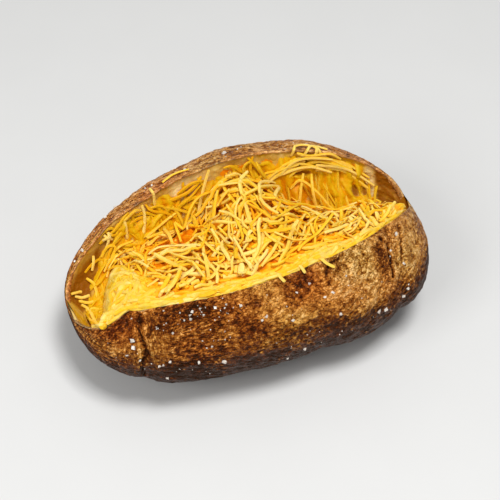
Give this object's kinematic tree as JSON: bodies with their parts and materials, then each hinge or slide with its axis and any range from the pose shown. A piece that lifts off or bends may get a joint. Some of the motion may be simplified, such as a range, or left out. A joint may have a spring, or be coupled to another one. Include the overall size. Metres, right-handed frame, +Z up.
{
  "type": "baked potato",
  "caption": "Whole baked potato split along its top and pressed open, with a heap of shredded cheddar in the split and coarse salt on the skin.",
  "frame": {"origin": "on the surface that the potato rests on, under the middle of its bounding box", "axes": "+Z up, +X along the potato towards its fat end, +Y across the split towards its taller half"},
  "size_m": [0.14, 0.0936, 0.0569],
  "materials": {
    "potato_skin": "brown baked skin with an oily gloss, fine wrinkles, dark pits and coarse white salt",
    "potato_flesh": "matt pale yellow crumb, stained orange where cheese has melted on it",
    "cheddar": "soft waxy shreds with a slight sheen, partly melted",
    "salt": "clear to white crystals"
  },
  "bodies": {
    "root": {"potato": "potato_skin", "cheese": "cheddar"}
  },
  "joints": []
}
